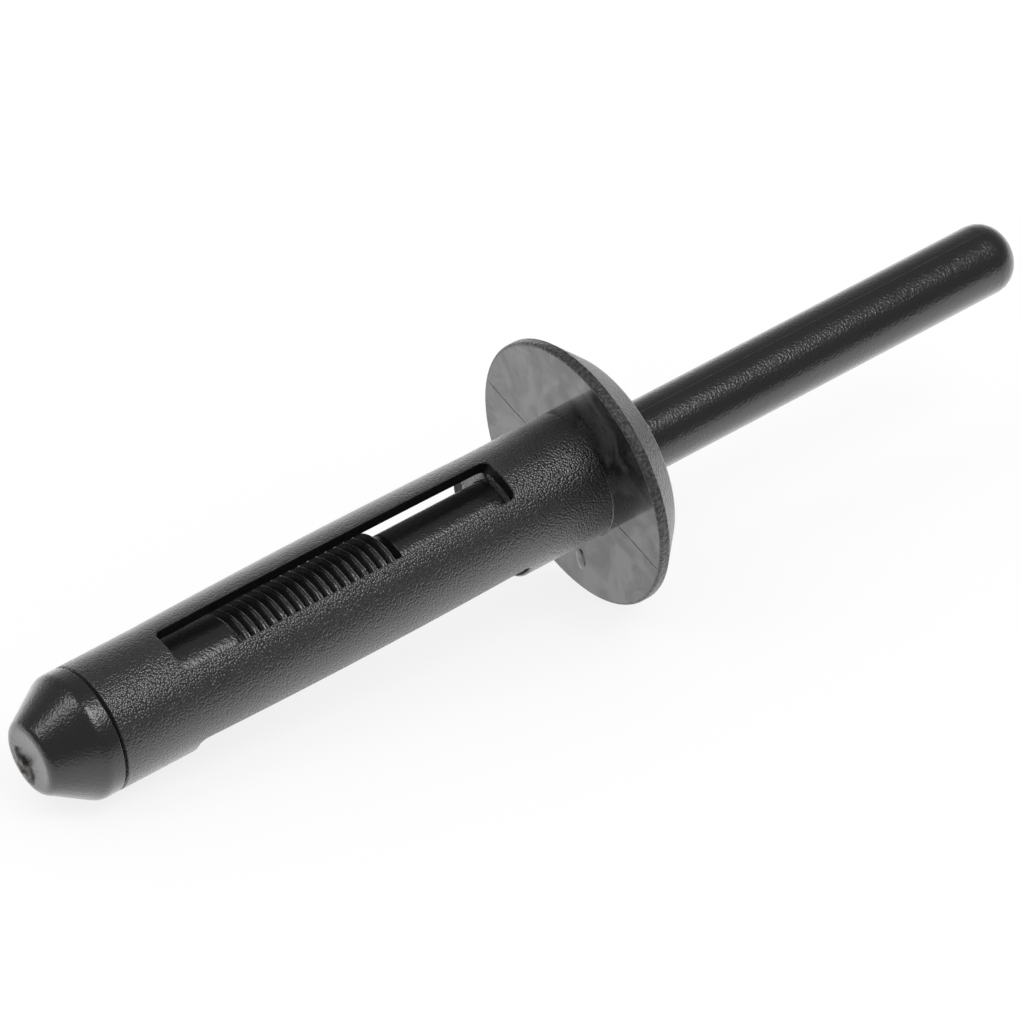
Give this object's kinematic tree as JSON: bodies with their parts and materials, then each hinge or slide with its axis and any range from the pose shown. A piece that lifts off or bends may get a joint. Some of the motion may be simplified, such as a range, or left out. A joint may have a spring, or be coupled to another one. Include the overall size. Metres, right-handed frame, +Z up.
{
  "type": "plastic blind rivet",
  "caption": "Plastic blind rivet: a flanged sleeve with slotted folding legs on a ribbed pull mandrel with a cone head and a plain stem.",
  "frame": {"origin": "on the ground under the middle of the lying rivet's box", "axes": "+Z up; +X along the rivet towards the stem's end, level; the axis itself leans up by about 7 degrees towards the stem"},
  "size_m": [0.0572, 0.0136, 0.0136],
  "materials": {
    "sleeve_nylon": "fine spark-eroded texture, polished seat on the flange",
    "mandrel_nylon": "smooth moulded, semi-gloss"
  },
  "bodies": {
    "sleeve": {"sleeve": "sleeve_nylon"},
    "mandrel": {"mandrel": "mandrel_nylon"}
  },
  "joints": [
    {"name": "mandrel_slide", "type": "slide", "parent": "sleeve", "child": "mandrel", "axis": [-0.992, 0, -0.1263], "range_m": [0, 0.024]}
  ]
}
